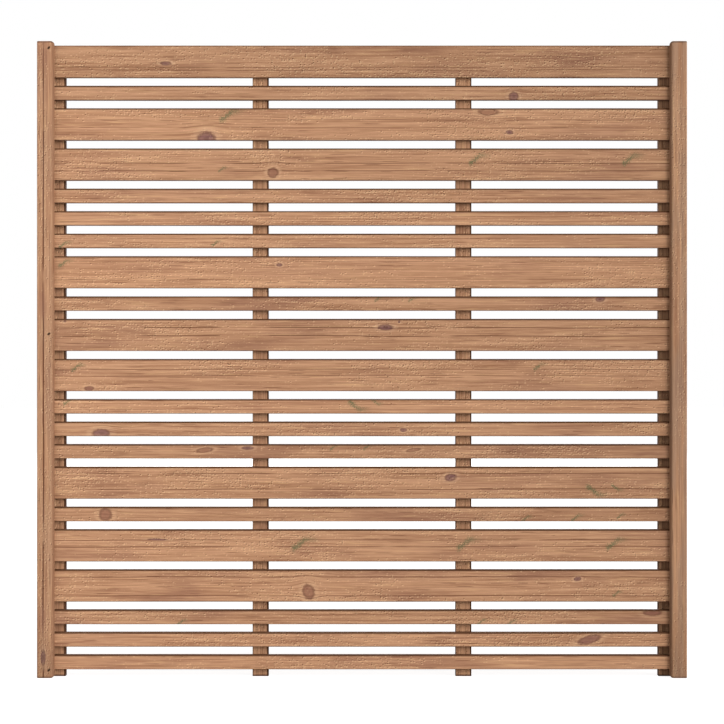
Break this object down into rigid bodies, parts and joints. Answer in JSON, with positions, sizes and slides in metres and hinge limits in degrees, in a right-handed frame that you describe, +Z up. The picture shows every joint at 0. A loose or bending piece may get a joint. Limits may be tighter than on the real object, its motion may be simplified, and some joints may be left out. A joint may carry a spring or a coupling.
{
  "type": "wooden fence panel",
  "caption": "Upright timber fence panel: horizontal wide and narrow slats with open gaps, stapled to battens and housed in rebated side posts.",
  "frame": {"origin": "centre of the panel's base, at the feet of its posts and half way through its depth", "axes": "+X across the panel to the right seen from the front, +Y from the front to the back, +Z up"},
  "size_m": [1.8, 0.05, 1.7635],
  "materials": {
    "slat_timber": "brown pressure-treated pine, planed, matt, with fine level grain, knots and treatment marks",
    "batten_timber": "brown pressure-treated pine, planed, matt, with upright grain",
    "post_timber": "brown pressure-treated pine, planed, matt, with upright grain",
    "staple_steel": "galvanised wire, dull"
  },
  "bodies": {
    "root": {"slat_01": "slat_timber", "slat_02": "slat_timber", "slat_03": "slat_timber", "slat_04": "slat_timber", "slat_05": "slat_timber", "slat_06": "slat_timber", "slat_07": "slat_timber", "slat_08": "slat_timber", "slat_09": "slat_timber", "slat_10": "slat_timber", "slat_11": "slat_timber", "slat_12": "slat_timber", "slat_13": "slat_timber", "slat_14": "slat_timber", "slat_15": "slat_timber", "slat_16": "slat_timber", "slat_17": "slat_timber", "slat_18": "slat_timber", "slat_19": "slat_timber", "slat_20": "slat_timber", "slat_21": "slat_timber", "batten_1": "batten_timber", "batten_2": "batten_timber", "batten_3": "batten_timber", "batten_4": "batten_timber", "left_post": "post_timber", "right_post": "post_timber", "short_staples": "staple_steel", "long_staples": "staple_steel"}
  },
  "joints": []
}
